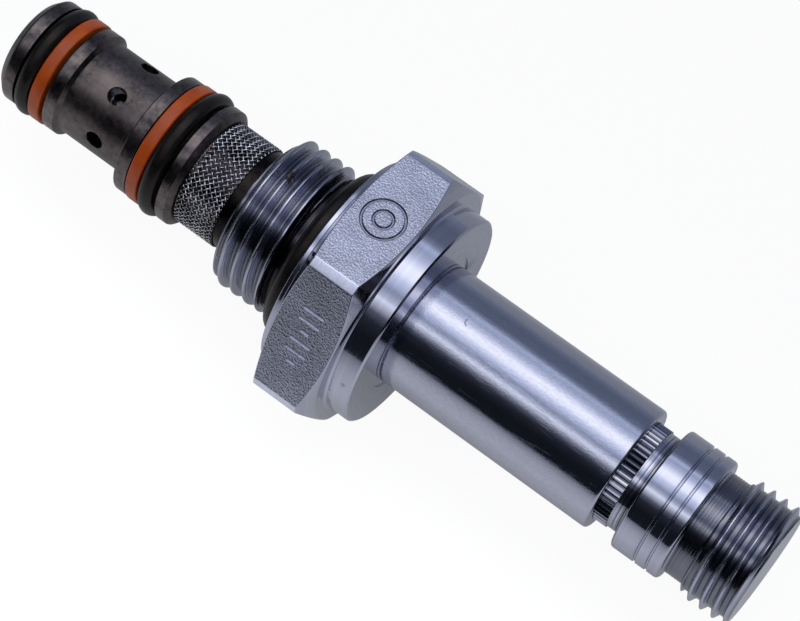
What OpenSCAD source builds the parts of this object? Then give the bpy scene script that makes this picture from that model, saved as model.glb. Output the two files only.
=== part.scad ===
// Screw-in solenoid cartridge valve, three ports and two positions, without its coil.
// The valve lies along +X: nose ports at -X, coil stem at +X.
// x = 0 is the seat face under the hex, and every x below is measured from it, in millimetres.

/* [Hex adapter] */
// Width across the hex flats
hex_af = 25.3; // [25.2:0.1:25.6]
// Radius of the turned corners of the hex
hex_corner_r = 14.33; // [14.21:0.02:14.43]
// Outer radius of the washer face that seats on the cavity
seat_r = 11.0; // [10.6:0.1:11.4]
// Height of the washer face above the hex's front chamfer
seat_len = 0.45; // [0.3:0.05:0.6]
// Depth of the shallow recess in the washer face that centres the hex O-ring
seal_recess_depth = 0.05; // [0.05:0.05:0.15]
// Length from the seat face to the end of the hex
hex_len = 7.4; // [7.2:0.1:7.8]
// Diameter of the round flange that the coil rests on
flange_d = 22.25; // [21.5:0.05:22.6]
// Distance from the seat face to the flange's outer face
flange_x = 9.86; // [9.6:0.02:10.0]
// Depth of the turned relief ring around the tube's foot
foot_ring_depth = 0.15; // [0.1:0.05:0.3]

/* [Cavity thread] */
// Major diameter of the cavity thread
thread_d = 15.8; // [15.7:0.02:15.88]
// Pitch of the cavity thread
thread_pitch = 1.411; // [1.38:0.001:1.42]
// Depth of the cavity thread
thread_depth = 0.8; // [0.7:0.02:0.85]
// Turns of full thread
thread_turns = 4; // [3, 4]
// Distance from the seat face to the thread's front end
thread_end = 8.7; // [8.66:0.02:8.76]
// Diameter of the relief that holds the hex O-ring
relief_d = 13.46; // [13.3:0.02:13.6]

/* [Guide tube] */
// Outer diameter of the tube that the coil slides over
tube_d = 12.7; // [12.66:0.01:12.74]
// Bore of the tube, which guides the armature
tube_bore = 10.5; // [10.45:0.01:10.52]
// Distance from the seat face to the tube's outer end
tube_end_x = 33.07; // [32.9:0.01:33.3]
// Diameter of the tube's pilot inside the adapter
pilot_d = 12.3; // [12.2:0.02:12.34]
// Distance from the seat face to the inner end of the pilot
pilot_x = 3.0; // [2.9:0.05:3.1]

/* [Pole plug] */
// Distance from the seat face to the plug's inner face
plug_face_x = 25.0; // [24.9:0.05:25.2]
// Number of serrations in the knurled band
knurl_teeth = 52; // [48:2:72]
// Depth of the serrations
knurl_depth = 0.14; // [0.08:0.02:0.14]
// Distance from the seat face to the end of the knurled band
knurl_end_x = 34.47; // [34.3:0.01:34.6]
// Diameter of the groove between knurl and collar
groove_d = 10.1; // [9.8:0.05:10.1]
// Start of the collar
collar_x = 35.75; // [35.6:0.05:35.9]
// Diameter of the collar
collar_d = 12.6; // [12.4:0.02:12.64]
// End of the collar
collar_end_x = 40.84; // [40.6:0.02:41.0]
// Diameter of the neck behind the thread
neck_d = 10.7; // [10.4:0.05:11.0]
// Start of the coil nut's thread
nut_thread_x = 42.8; // [42.7:0.05:42.9]
// Major diameter of the coil nut's thread
nut_thread_d = 12.45; // [12.4:0.01:12.5]
// Pitch of the coil nut's thread
nut_pitch = 1.27; // [1.2:0.01:1.27]
// Distance from the seat face to the end of the valve
stem_end_x = 48.14; // [48.0:0.02:48.4]

/* [Nose cage] */
// Distance from the seat face to the nose
nose_x = 36.05; // [35.9:0.05:36.2]
// Diameter of the nose lands
nose_d = 11.0; // [10.9:0.05:11.2]
// Diameter of the neck with the cross holes
port_neck_d = 9.9; // [9.6:0.05:10.2]
// Diameter of the middle lands
mid_d = 12.6; // [12.4:0.05:12.8]
// Diameter of each cross hole
port_d = 1.8; // [1.5:0.05:1.9]
// Number of cross holes in each row
port_count = 6; // [4, 6, 8]
// Distance from the seat face to the lower row of cross holes
port_x = 24.7; // [24.6:0.05:25.0]
// Distance from the seat face to the screened row of cross holes
screen_port_x = 12.3; // [12.1:0.05:12.5]
// Turn of the cross holes about the axis, in degrees
port_turn = 17.5; // [0:0.5:60]
// Bore that the spool slides in
cage_bore = 6.04; // [6.03:0.005:6.08]

/* [Seals and screen] */
// Wire section of the nose and middle O-rings
ring_d = 1.78; // [1.74:0.01:1.8]
// Wire section of the O-ring under the hex
hex_ring_d = 2.08; // [2.0:0.01:2.1]
// Thickness of the backup rings along the axis
backup_w = 1.3; // [1.1:0.05:1.35]
// Outer diameter of the filter screen
screen_d = 11.0; // [10.9:0.02:11.1]
// Thickness of the woven screen
screen_t = 0.3; // [0.2:0.02:0.36]

/* [Moving parts] */
// Stroke of the armature and spool
stroke = 2.2; // [2.0:0.05:2.2]
// Diameter of the spool's lands
spool_d = 6.0; // [5.98:0.005:6.0]
// Diameter of the armature
armature_d = 10.4; // [10.36:0.01:10.42]
// Wire diameter of the return spring
spring_wire = 0.6; // [0.5:0.05:0.65]
// Mean diameter of the return spring
spring_mean_d = 4.0; // [3.8:0.05:4.2]
// Turns of the return spring, with its closed ends
spring_turns = 9; // [8:1:10]

/* [Hidden] */
$fn = 96;
eps = 0.01;
long = 60;

// Adapter
seat_chamfer_x = 1.75;      // where the seat side's chamfer meets the turned corners
corner_end_x = 6.53;        // where the flange side's chamfer starts
hex_back_r = 12.5;          // foot of that chamfer on the hex's back face
flange_fillet = 0.3;        // blend between hex and flange, cut as a chamfer
flange_edge = 0.2;          // broken edges of the flange
adapter_front_r = 6.96;     // front face of the thread, inside its chamfer
crest_w = 0.25;             // crest flat of the cavity thread
first_crest = 1.07;         // distance from the thread's front end to its first crest
relief_x = 2.7;             // length of the O-ring relief
spigot_r = 4.8;             // cage's spigot and the adapter's bore
foot_ring_r = 7.2;          // outer radius of the ring around the tube's foot
seal_recess_r = 8.95;       // outer radius of the recess for the hex O-ring
tube_edge = 0.45;           // rounded end of the tube

// Pole plug
plug_r = tube_bore / 2;
plug_edge = 0.2;            // broken edge of the inner face
knurl_r = plug_r - 0.03;    // the teeth stand just inside the plug's rim
collar_edge = 0.25;         // broken edge of the collar towards the tube
collar_back_edge = 0.35;    // and towards the nut's thread
spring_bore_r = 2.5;
plug_spring_depth = 4.0;
plug_groove_x = 27.3;
plug_groove_w = 1.4;
plug_groove_r = 4.45;
fine_groove_w = 0.3;
fine_groove_depth = 0.15;
fine_groove_xs = [38.13, 39.38];
nut_chamfer = 0.5;          // chamfers at both ends of the nut's thread
nut_root_gap = 0.48;        // width of that thread's grooves at the crests
nut_groove_depth = 0.42;
nut_groove_first = 1.1;     // distance from the thread's start to its first groove
nut_turns = 3;

// Cage: each value is a distance from the seat face towards the nose
nose_chamfer = 0.78;
nose_groove_from = 34.05;
nose_groove_to = 30.45;
nose_ring_stand = 0.3;      // how far the nose O-ring stands proud of its lands
nose_groove_r = nose_d / 2 + nose_ring_stand - ring_d;
nose_land_end = 29.2;
neck_from = 28.85;
neck_to = 21.2;
mid_groove_from = 19.85;
mid_groove_to = 16.25;
mid_ring_stand = 0.4;       // and the middle O-ring of its own
mid_groove_r = mid_d / 2 + mid_ring_stand - ring_d;
mid_chamfer_from = 15.25;
mid_chamfer_to = 14.75;
mid_chamfer_h = 0.6;
screen_seat_r = screen_d / 2 - screen_t;
screen_from = 14.6;
screen_to = 10.25;
screen_recess_r = 4.6;
screen_seat_w = 0.35;
cage_groove_from = 1.1;
cage_groove_w = 1.4;
cage_groove_r = 4.0;
snap_x = 34.95;
snap_wire = 0.5;
snap_groove_w = 0.54;
snap_groove_r = 3.36;
snap_gap = 0.01;            // play between the snap ring and its groove
snap_opening = 1.4;
nose_ring_gap = 0.04;       // nose O-ring to the groove's front wall
nose_backup_gap = 0.05;     // nose O-ring to its backup ring
mid_ring_gap = 0.38;        // middle O-ring to the groove's back wall
mid_backup_gap = 0.1;       // middle backup ring to the groove's front wall
backup_stand = 0.1;         // how far the backup rings stand proud
retainer_ring_r = 5.3;      // outer radius of the screen's retainer
inner_ring_w = 1.0;         // section of the two hidden static O-rings
inner_ring_h = 0.8;         // their height once squeezed in their grooves

// Moving parts
shim_t = 0.2;
shim_outer_r = 4.8;
shim_inner_r = 2.8;
armature_top = plug_face_x - shim_t - stroke;
armature_edge = 0.4;
armature_bore_end = 14.6;
link_bore_end = 9.2;
link_hole_r = 0.75;
slot_w = 1.4;
slot_depth = 0.7;
rod_r = 1.2;
rod_head_r = 2.2;
rod_head_x = 7.5;
rod_head_end = 9.0;
rod_front = 7.0;
rod_vent_r = 0.6;
retainer_end = 7.4;
retainer_bore_r = 1.4;
spool_front = 34.0;
spool_back = 2.0;
spool_edge = 0.2;
groove_r = 2.1;
main_groove_from = 25.9;
main_groove_to = 10.6;
vent_groove_from = 29.6;
vent_groove_to = 27.1;
vent_groove_r = 2.5;
vent_hole_r = 0.7;
vent_holes = 4;
spool_bore_r = 1.1;
balance_groove_w = 0.3;
balance_groove_depth = 0.2;
balance_groove_xs = [-32.6, -31.6, -9.4, -8.4, -7.4];
pin_r = 0.4;
pin_len = 5.6;
pin_x = 4.5;
spring_from = armature_bore_end;
spring_to = plug_face_x + plug_spring_depth;

// A solid of revolution about the X axis; its points are [radius, x].
module turned(points) {
  rotate([0, 90, 0])
    rotate_extrude()
      polygon(points);
}

// A plain cylinder along the X axis.
module round_bar(r, from, to) {
  translate([from, 0, 0])
    rotate([0, 90, 0])
      cylinder(h = to - from, r = r);
}

// A groove of rectangular section, to be cut from a bar.
module ring_cut(outer, inner, from, to) {
  difference() {
    round_bar(outer, from, to);
    round_bar(inner, from - eps, to + eps);
  }
}

// A ring of round wire about the X axis.
module wire_ring(mean_r, section, x) {
  translate([x, 0, 0])
    rotate([0, 90, 0])
      rotate_extrude()
        translate([mean_r, 0])
          circle(d = section, $fn = 32);
}

// An O-ring squeezed flat inside and outside by its groove and bore.
module squeezed_ring(inner_r, height, section, x) {
  translate([x, 0, 0])
    rotate([0, 90, 0])
      rotate_extrude()
        intersection() {
          translate([inner_r + height / 2, 0])
            circle(d = section, $fn = 32);
          translate([inner_r, -section])
            square([height, 2 * section]);
        }
}

// A row of cross holes around the X axis.
module cross_holes(count, r, x, reach, turn) {
  for (i = [0 : count - 1])
    rotate([turn + i * 360 / count, 0, 0])
      translate([x, 0, 0])
        cylinder(h = reach, r = r);
}

// Points of a ring-grooved thread, one crest for each turn, from its first crest on.
function thread_points(first_x, turns, pitch, crest_r, root_r, flat) =
  let (flank = (crest_r - root_r) * tan(30))
  [for (i = [0 : turns - 1])
    let (x = first_x + i * pitch)
    each [
      [root_r, x - flat / 2 - flank],
      [crest_r, x - flat / 2],
      [crest_r, x + flat / 2],
      [root_r, x + flat / 2 + flank]
    ]];

module hex_block() {
  intersection() {
    rotate([30, 0, 0])
      rotate([0, 90, 0])
        cylinder(h = hex_len, d = hex_af / cos(30), $fn = 6);
    turned([
      [0, 0],
      [seat_r, 0],
      [seat_r, seat_len],
      [hex_corner_r, seat_chamfer_x],
      [hex_corner_r, corner_end_x],
      [hex_back_r, hex_len],
      [0, hex_len]
    ]);
  }
}

module adapter_barrel() {
  root_r = thread_d / 2 - thread_depth;
  first = -thread_end + first_crest;
  turned(concat(
    [[0, -thread_end], [adapter_front_r, -thread_end]],
    thread_points(first, thread_turns, thread_pitch, thread_d / 2, root_r, crest_w),
    [[relief_d / 2, -relief_x], [relief_d / 2, eps], [0, eps]]
  ));
}

module adapter_flange() {
  r = flange_d / 2;
  turned([
    [0, hex_len - eps],
    [r + flange_fillet, hex_len - eps],
    [r, hex_len + flange_fillet],
    [r, flange_x - flange_edge],
    [r - flange_edge, flange_x],
    [0, flange_x]
  ]);
}

module adapter() {
  color("lightsteelblue")
    difference() {
      union() {
        hex_block();
        adapter_barrel();
        adapter_flange();
      }
      round_bar(spigot_r, -long / 2, pilot_x + eps);
      round_bar(pilot_d / 2, pilot_x, long / 2);
      ring_cut(foot_ring_r, pilot_d / 2 - eps, flange_x - foot_ring_depth, flange_x + eps);
      ring_cut(seal_recess_r, relief_d / 2, -eps, seal_recess_depth);
    }
}

module guide_tube() {
  r = tube_d / 2;
  bore = tube_bore / 2;
  color("gainsboro")
    rotate([0, 90, 0])
      rotate_extrude()
        difference() {
          union() {
            polygon([
              [bore, pilot_x],
              [pilot_d / 2, pilot_x],
              [pilot_d / 2, flange_x - foot_ring_depth],
              [r, flange_x - foot_ring_depth],
              [r, tube_end_x - tube_edge],
              [r - tube_edge, tube_end_x - tube_edge],
              [r - tube_edge, tube_end_x],
              [bore, tube_end_x]
            ]);
            translate([r - tube_edge, tube_end_x - tube_edge])
              circle(r = tube_edge, $fn = 48);
          }
          square([bore, long]);
        }
}

// Outline of the plug outside the tube, as [radius, x].
function plug_outline() =
  let (root_r = nut_thread_d / 2 - nut_groove_depth, half = nut_root_gap / 2)
  concat(
    [
      [0, plug_face_x],
      [plug_r - plug_edge, plug_face_x],
      [plug_r, plug_face_x + plug_edge],
      [plug_r, tube_end_x],
      [groove_d / 2, tube_end_x],
      [groove_d / 2, collar_x],
      [collar_d / 2 - collar_edge, collar_x],
      [collar_d / 2, collar_x + collar_edge],
      [collar_d / 2, collar_end_x - collar_back_edge],
      [collar_d / 2 - collar_back_edge, collar_end_x],
      [neck_d / 2, collar_end_x],
      [neck_d / 2, nut_thread_x],
      [nut_thread_d / 2, nut_thread_x + nut_chamfer]
    ],
    [for (i = [0 : nut_turns - 1])
      let (x = nut_thread_x + nut_groove_first + i * nut_pitch)
      each [
        [nut_thread_d / 2, x - half],
        [root_r, x],
        [nut_thread_d / 2, x + half]
      ]],
    [
      [nut_thread_d / 2, stem_end_x - nut_chamfer],
      [nut_thread_d / 2 - nut_chamfer, stem_end_x],
      [0, stem_end_x]
    ]
  );

// The knurled band: a star of fine serrations.
module knurl() {
  steps = 2 * knurl_teeth;
  translate([tube_end_x, 0, 0])
    rotate([0, 90, 0])
      linear_extrude(height = knurl_end_x - tube_end_x)
        polygon([for (i = [0 : steps - 1])
          (knurl_r - (i % 2) * knurl_depth) * [cos(i * 360 / steps), sin(i * 360 / steps)]]);
}

module pole_plug() {
  color("silver")
    difference() {
      union() {
        turned(plug_outline());
        knurl();
      }
      round_bar(spring_bore_r, plug_face_x - eps, plug_face_x + plug_spring_depth);
      ring_cut(plug_r + 1, plug_groove_r, plug_groove_x, plug_groove_x + plug_groove_w);
      for (x = fine_groove_xs)
        ring_cut(collar_d, collar_d / 2 - fine_groove_depth, x, x + fine_groove_w);
    }
}

module plug_o_ring() {
  color("dimgray")
    squeezed_ring(plug_groove_r, inner_ring_h, inner_ring_w, plug_groove_x + plug_groove_w / 2);
}

module cage() {
  nose_r = nose_d / 2;
  neck_r = port_neck_d / 2;
  mid_r = mid_d / 2;
  color([0.20, 0.18, 0.19])
    difference() {
      turned([
        [0, -nose_x],
        [nose_r - nose_chamfer, -nose_x],
        [nose_r, -nose_x + nose_chamfer],
        [nose_r, -nose_groove_from],
        [nose_groove_r, -nose_groove_from],
        [nose_groove_r, -nose_groove_to],
        [nose_r, -nose_groove_to],
        [nose_r, -nose_land_end],
        [neck_r, -neck_from],
        [neck_r, -neck_to],
        [mid_r, -neck_to],
        [mid_r, -mid_groove_from],
        [mid_groove_r, -mid_groove_from],
        [mid_groove_r, -mid_groove_to],
        [mid_r, -mid_groove_to],
        [mid_r, -mid_chamfer_from],
        [mid_r - mid_chamfer_h, -mid_chamfer_to],
        [screen_seat_r, -mid_chamfer_to],
        [screen_seat_r, -screen_from + screen_seat_w],
        [screen_recess_r, -screen_from + screen_seat_w],
        [screen_recess_r, -screen_to - screen_seat_w],
        [screen_seat_r, -screen_to - screen_seat_w],
        [screen_seat_r, -screen_to],
        [spigot_r, -screen_to],
        [spigot_r, -cage_groove_from],
        [cage_groove_r, -cage_groove_from],
        [cage_groove_r, -cage_groove_from + cage_groove_w],
        [spigot_r, -cage_groove_from + cage_groove_w],
        [spigot_r, pilot_x],
        [0, pilot_x]
      ]);
      round_bar(cage_bore / 2, -long, long);
      ring_cut(
        snap_groove_r, cage_bore / 2 - eps,
        -snap_x - snap_groove_w / 2, -snap_x + snap_groove_w / 2
      );
      cross_holes(port_count, port_d / 2, -port_x, nose_d, port_turn);
      cross_holes(port_count, port_d / 2, -screen_port_x, nose_d, port_turn + 180 / port_count);
    }
}

module cage_o_ring() {
  color("dimgray")
    squeezed_ring(cage_groove_r, inner_ring_h, inner_ring_w, -cage_groove_from + cage_groove_w / 2);
}

// Open snap ring that keeps the spool in the nose.
module nose_snap_ring() {
  color("darkgray")
    difference() {
      wire_ring(snap_groove_r - snap_wire / 2 - snap_gap, snap_wire, -snap_x);
      translate([-snap_x - snap_wire, -snap_opening / 2, 0])
        cube([2 * snap_wire, snap_opening, long]);
    }
}

module nose_o_ring() {
  color([0.09, 0.09, 0.10])
    wire_ring(nose_groove_r + ring_d / 2, ring_d, -nose_groove_from + ring_d / 2 + nose_ring_gap);
}

module nose_backup_ring() {
  from = -nose_groove_from + nose_ring_gap + ring_d + nose_backup_gap;
  color("chocolate")
    ring_cut(nose_d / 2 + backup_stand, nose_groove_r, from, from + backup_w);
}

module mid_o_ring() {
  color([0.09, 0.09, 0.10])
    wire_ring(mid_groove_r + ring_d / 2, ring_d, -mid_groove_to - ring_d / 2 - mid_ring_gap);
}

module mid_backup_ring() {
  from = -mid_groove_from + mid_backup_gap;
  color("chocolate")
    ring_cut(mid_d / 2 + backup_stand, mid_groove_r, from, from + backup_w);
}

module hex_o_ring() {
  color([0.09, 0.09, 0.10])
    wire_ring((relief_d + hex_ring_d) / 2, hex_ring_d, seal_recess_depth - hex_ring_d / 2);
}

module filter_screen() {
  color("dimgray")
    ring_cut(screen_d / 2, screen_seat_r, -screen_from, -screen_to);
}

module screen_retainer() {
  color([0.16, 0.15, 0.16])
    ring_cut(retainer_ring_r, spigot_r, -screen_to, -thread_end);
}

module residual_shim() {
  color("gold")
    ring_cut(shim_outer_r, shim_inner_r, plug_face_x - shim_t, plug_face_x);
}

module armature() {
  r = armature_d / 2;
  color("slategray")
    difference() {
      turned([
        [0, pilot_x],
        [r - armature_edge, pilot_x],
        [r, pilot_x + armature_edge],
        [r, armature_top - armature_edge],
        [r - armature_edge, armature_top],
        [0, armature_top]
      ]);
      round_bar(spring_bore_r, armature_bore_end, long);
      round_bar(spring_bore_r, -long, link_bore_end);
      round_bar(link_hole_r, 0, armature_bore_end + eps);
      for (side = [-1, 1])
        translate([0, side * r - slot_depth, -slot_w / 2])
          cube([long, 2 * slot_depth, slot_w]);
    }
}

module rod_retainer() {
  color("goldenrod")
    ring_cut(spring_bore_r, retainer_bore_r, pilot_x, retainer_end);
}

// Round wire swept along a helix, as rings of corners joined by quads.
module return_spring() {
  sides = 8;
  per_turn = 16;
  rings = per_turn * spring_turns;
  mean_r = spring_mean_d / 2;
  wire_r = spring_wire / 2;
  rise = (spring_to - spring_from - spring_wire) / rings;
  points = [for (i = [0 : rings]) for (j = [0 : sides - 1])
    let (
      turn = i * 360 / per_turn,
      spoke = mean_r + wire_r * cos(j * 360 / sides)
    )
    [
      spring_from + wire_r + i * rise + wire_r * sin(j * 360 / sides),
      spoke * cos(turn),
      spoke * sin(turn)
    ]];
  walls = [for (i = [0 : rings - 1]) for (j = [0 : sides - 1])
    let (a = i * sides + j, b = i * sides + (j + 1) % sides)
    [a, a + sides, b + sides, b]];
  front = [[for (j = [0 : sides - 1]) j]];
  back = [[for (j = [sides - 1 : -1 : 0]) rings * sides + j]];
  color("silver")
    polyhedron(points, concat(walls, front, back));
}

module pull_rod() {
  color("lightgray")
    difference() {
      union() {
        round_bar(rod_r, -rod_front, rod_head_x + eps);
        round_bar(rod_head_r, rod_head_x, rod_head_end);
      }
      round_bar(rod_vent_r, -long, long);
      spool_pin_shape(long);
    }
}

module spool() {
  r = spool_d / 2;
  color("lightslategray")
    difference() {
      turned([
        [0, -spool_front],
        [r - spool_edge, -spool_front],
        [r, -spool_front + spool_edge],
        [r, -vent_groove_from],
        [vent_groove_r, -vent_groove_from],
        [vent_groove_r, -vent_groove_to],
        [r, -vent_groove_to],
        [r, -main_groove_from],
        [groove_r, -main_groove_from],
        [groove_r, -main_groove_to],
        [r, -main_groove_to],
        [r, -spool_back - spool_edge],
        [r - spool_edge, -spool_back],
        [0, -spool_back]
      ]);
      round_bar(spool_bore_r, -long, -rod_front + eps);
      round_bar(rod_r, -rod_front, long);
      cross_holes(vent_holes, vent_hole_r, -(vent_groove_from + vent_groove_to) / 2, long, 0);
      for (x = balance_groove_xs)
        ring_cut(spool_d, r - balance_groove_depth, x, x + balance_groove_w);
      spool_pin_shape(long);
    }
}

// The cross pin through spool and rod, along Y.
module spool_pin_shape(length) {
  translate([-pin_x, 0, 0])
    rotate([90, 0, 0])
      cylinder(h = length, r = pin_r, center = true, $fn = 48);
}

module spool_pin() {
  color("gray")
    spool_pin_shape(pin_len);
}

adapter();
guide_tube();
pole_plug();
plug_o_ring();
cage();
cage_o_ring();
nose_snap_ring();
nose_o_ring();
nose_backup_ring();
mid_o_ring();
mid_backup_ring();
hex_o_ring();
filter_screen();
screen_retainer();
residual_shim();
armature();
rod_retainer();
return_spring();
pull_rod();
spool();
spool_pin();
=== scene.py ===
import math

import bmesh
import bpy
from mathutils import Matrix, Vector


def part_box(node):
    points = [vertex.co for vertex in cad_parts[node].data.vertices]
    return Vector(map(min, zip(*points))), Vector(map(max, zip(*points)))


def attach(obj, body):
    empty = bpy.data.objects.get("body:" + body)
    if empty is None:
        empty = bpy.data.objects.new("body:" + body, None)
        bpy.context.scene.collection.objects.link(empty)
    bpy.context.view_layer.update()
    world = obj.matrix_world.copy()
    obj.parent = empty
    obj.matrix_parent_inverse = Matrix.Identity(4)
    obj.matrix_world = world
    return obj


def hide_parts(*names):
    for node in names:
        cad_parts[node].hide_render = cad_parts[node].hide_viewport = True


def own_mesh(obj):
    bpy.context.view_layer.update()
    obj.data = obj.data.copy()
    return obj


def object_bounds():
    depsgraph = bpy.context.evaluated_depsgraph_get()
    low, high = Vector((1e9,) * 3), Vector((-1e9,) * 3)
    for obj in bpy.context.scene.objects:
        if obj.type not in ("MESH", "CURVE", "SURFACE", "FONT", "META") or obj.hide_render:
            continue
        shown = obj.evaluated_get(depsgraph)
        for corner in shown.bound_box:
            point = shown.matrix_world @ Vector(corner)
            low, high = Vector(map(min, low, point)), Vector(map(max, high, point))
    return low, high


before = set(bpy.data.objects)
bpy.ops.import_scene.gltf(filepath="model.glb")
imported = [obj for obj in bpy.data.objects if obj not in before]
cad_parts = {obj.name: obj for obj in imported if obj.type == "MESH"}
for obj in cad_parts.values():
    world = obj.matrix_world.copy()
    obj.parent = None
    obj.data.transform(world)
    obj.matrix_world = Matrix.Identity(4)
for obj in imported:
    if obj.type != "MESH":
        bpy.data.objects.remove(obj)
cad_low, cad_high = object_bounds()

# Lengths in this script are in millimetres; MM turns them into the frame's metres.
# The valve lies along X. A turn is a share of the full circle round it, from +Y towards +Z, so 0.25 is up.
MM = 0.001
TURN = 2 * math.pi


def span(node):
    """(lowest x, highest x, outer radius) of a CAD node, in millimetres."""
    low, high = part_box(node)
    return low[0] / MM, high[0] / MM, high[2] / MM


# ---------------------------------------------------------------- sizes

HEX_FLAT = span("adapter")[2]
THREAD_FRONT, FLANGE_X = span("adapter")[:2]
HEX_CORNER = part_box("adapter")[1][1] / MM
HEX_LEN = 7.4
SEAT_R = 11.0
SEAT_LEN = 0.45
SEAL_RECESS_R = 8.95
SEAL_RECESS = 0.05
SEAT_CONE_X = 1.75
BACK_CONE_X = 6.53
BACK_CONE_R = 12.5
FLANGE_R = 11.125
FLANGE_EDGE = 0.2
FOOT_R = 7.2
FOOT_DEPTH = 0.15
PILOT_R = 6.15
SPIGOT_R = 4.8

THREAD_PITCH = 1.411
THREAD_R = 7.9
THREAD_ROOT_R = 7.06
THREAD_CREST_X = -8.14
THREAD_LAND = 0.11
THREAD_ROUND = 0.13
THREAD_NOSE_R = 6.96
THREAD_LEAD = 1.7
RELIEF_R = 6.73
RELIEF_X = -2.7
RELIEF_SLOPE = 2.5
RIDGE_X = RELIEF_X + 0.28
RIDGE_R = RELIEF_R + 0.24

TUBE_FROM, TUBE_END, TUBE_R = span("guide_tube")
TUBE_BORE_R = 5.25
TUBE_EDGE = 0.45

PLUG_FACE, STEM_END, COLLAR_R = span("pole_plug")
KNURL_R = 5.22
KNURL_DEPTH = 0.2
KNURL_TEETH = 52
KNURL_END = 34.47
GROOVE_R = 5.05
COLLAR_X = 35.75
COLLAR_END = 40.84
COLLAR_GROOVES = (38.28, 39.53)
COLLAR_GROOVE_DEPTH = 0.17
NECK_R = 5.35
NECK_RIDGE = 0.016
NUT_X = 42.8
NUT_R = 6.225
NUT_ROOT_R = 5.6
NUT_PITCH = 1.27
NUT_CREST_X = 43.47
NUT_LAND = 0.07
NUT_ROUND = 0.07
NUT_END_DEPTH = 0.62
SPRING_BORE_R = 2.5
SPRING_BORE_END = 29.0

NOSE_X, CAGE_END, CAGE_R = span("cage")
NOSE_R = 5.5
NOSE_CHAMFER = 0.78
NOSE_GROOVE = (-34.05, -30.45)
NOSE_GROOVE_R = 4.02
CAGE_NECK = (-29.2, -21.2)
CAGE_NECK_R = 4.95
MID_GROOVE = (-19.85, -16.25)
MID_GROOVE_R = 4.92
MID_END = -15.25
PORT_GROOVE = (-14.25, -10.6)
PORT_GROOVE_R = 4.6
HIDDEN_GROOVE = (-1.1, 0.3)
HIDDEN_GROOVE_R = 4.0
SNAP_GROOVE = (-35.22, -34.68)
SNAP_GROOVE_R = 3.36
CAGE_BORE_R = 3.02
HOLE_R = 0.9
HOLE_COUNT = 6
HOLE_TURN = 107.5 / 360
PORT_X = -24.7
SCREEN_PORT_X = -12.3
SCREEN_FROM, SCREEN_TO, SCREEN_R = span("filter_screen")
SCREEN_SEAT_R = 5.2
SCREEN_WIRES = 56
SCREEN_WIRE_R = 0.078

SPRING_TURNS = 9
SPRING_WIRE_R = 0.3
SPRING_R = 2.0


# ---------------------------------------------------------------- mesh helpers

def smin(a, b, k):
    """The smaller of two lengths, blended over k."""
    h = max(k - abs(a - b), 0) / k
    return min(a, b) - h * h * k / 4


def smax(a, b, k):
    return -smin(-a, -b, k)


def rounded(points, steps=4):
    """Turns (x, radius, fillet) points into (x, radius) points, with an arc at each filleted corner."""
    out = []
    for i, (x, r, fillet) in enumerate(points):
        if not fillet:
            out.append((x, r))
            continue
        corner = Vector((x, r))
        back = Vector(points[i - 1][:2]) - corner
        ahead = Vector(points[(i + 1) % len(points)][:2]) - corner
        reach = fillet / math.tan(max(back.angle(ahead), 0.1) / 2)
        reach = min(reach, 0.48 * back.length, 0.48 * ahead.length)
        start = corner + back.normalized() * reach
        end = corner + ahead.normalized() * reach
        for k in range(steps + 1):
            t = k / steps
            p = start * (1 - t) ** 2 + corner * (2 * t * (1 - t)) + end * t * t
            out.append((p.x, p.y))
    return out


def thread_rows(turn, start, end, pitch, crest_x, phases, radius):
    """Points along a right-hand thread at one turn.

    The rows follow the helix, so its crests stay sharp all the way round.
    """
    rows = []
    first = math.floor((start - crest_x) / pitch) - 2
    last = math.ceil((end - crest_x) / pitch) + 1
    for n in range(first, last):
        for phase in phases:
            x = crest_x + (n + phase + turn) * pitch
            x = min(max(x, start), end)
            place = (x - crest_x) / pitch - turn
            from_crest = abs(place - round(place)) * pitch
            rows.append((x, radius(x, from_crest)))
    return rows


def thread_phases(pitch, crest_half, depth, k):
    """Places along one pitch where the thread's section needs a row."""
    flank = depth * math.tan(math.radians(30))
    soft = k * 0.6
    marks = [0, crest_half * 0.5, crest_half, crest_half + soft, crest_half + flank / 2]
    marks += [crest_half + flank - soft, crest_half + flank, crest_half + flank + soft]
    marks = sorted({round(m / pitch, 5) for m in marks if m < pitch / 2})
    return marks + [0.5] + [1 - m for m in reversed(marks) if m > 0]


def thread_section(crest_r, root_r, crest_half, k):
    """The radius of a 60 degree thread at a distance from its crest's middle."""
    slope = 1 / math.tan(math.radians(30))

    def radius(d):
        r = smin(crest_r, crest_r - (d - crest_half) * slope, k)
        return smax(r, root_r, k)

    return radius


def circle_turns(count, extra=()):
    """Fractions of a turn from 0 to 1, with extra columns where an edge runs along the axis."""
    turns = [i / count for i in range(count)] + [e % 1 for e in extra]
    turns = sorted(set(round(t, 6) for t in turns))
    return turns + [1.0]


def revolve(name, outline, turns, sharp=32):
    """Sweeps a closed outline round the X axis.

    outline(turn) gives (x, radius) points, as many at each turn.
    """
    verts, faces = [], []
    rows = len(outline(0.0))
    for turn in turns:
        y, z = math.cos(turn * TURN) * MM, math.sin(turn * TURN) * MM
        verts += [(x * MM, r * y, r * z) for x, r in outline(turn)]
    for i in range(len(turns) - 1):
        for j in range(rows):
            k = (j + 1) % rows
            faces.append((i * rows + j, (i + 1) * rows + j, (i + 1) * rows + k, i * rows + k))
    mesh = bpy.data.meshes.new(name)
    mesh.from_pydata(verts, [], faces)
    return welded(mesh, sharp)


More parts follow.
